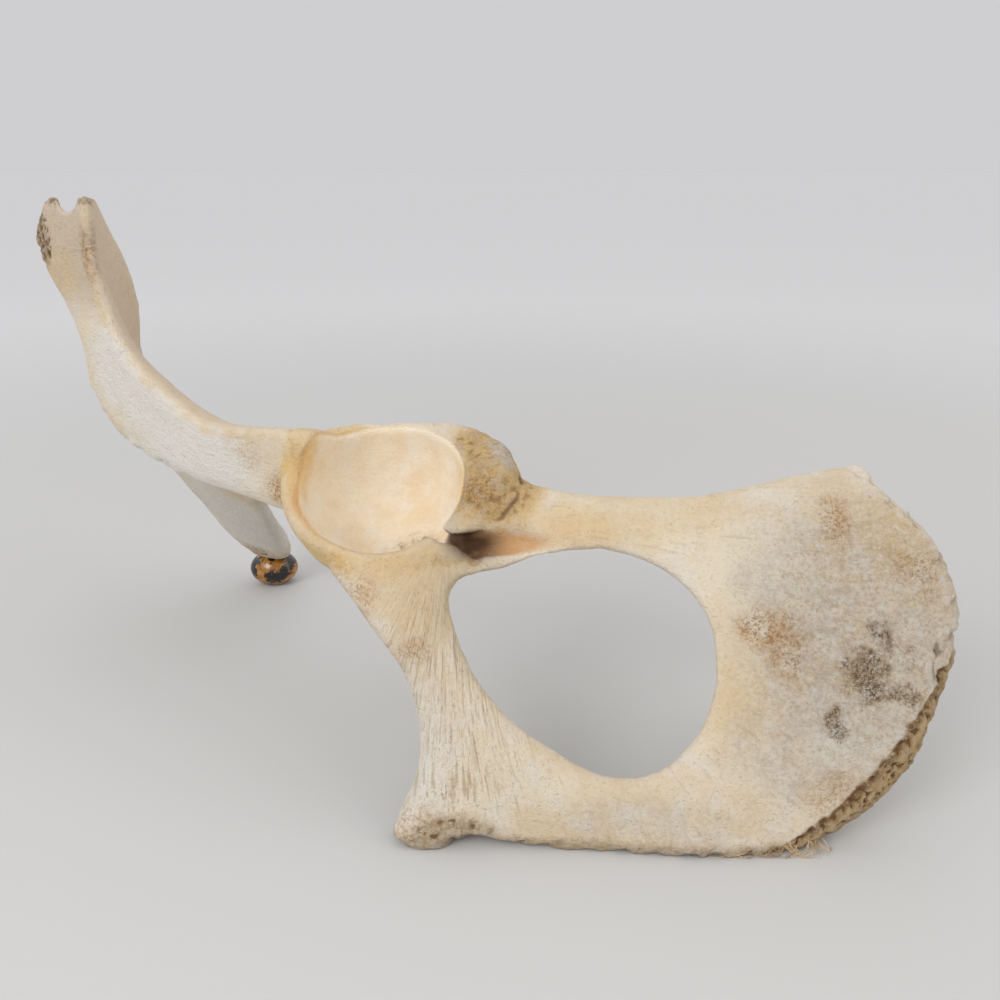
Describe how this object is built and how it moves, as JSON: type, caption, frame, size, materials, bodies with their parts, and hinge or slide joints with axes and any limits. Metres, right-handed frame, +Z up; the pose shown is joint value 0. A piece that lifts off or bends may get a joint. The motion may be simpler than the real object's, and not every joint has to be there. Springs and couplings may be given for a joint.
{
  "type": "cow hip bone",
  "caption": "Weathered left hip bone of a cow, a still display piece standing on its pelvic seam with a tumbled pebble under the corner of its wing.",
  "frame": {"origin": "on the floor, under the middle of the bounding box", "axes": "+X towards the animal's tail, +Y towards its back, so that the belly side faces -Y, and +Z up, which is the animal's left"},
  "size_m": [0.413, 0.2816, 0.2383],
  "materials": {
    "bone": "chalky weathered bone, stained and pitted",
    "pebble": "tumbled and polished ochre stone with black branching patches"
  },
  "bodies": {
    "root": {"hip_bone": "bone", "foot_pebble": "pebble"}
  },
  "joints": []
}
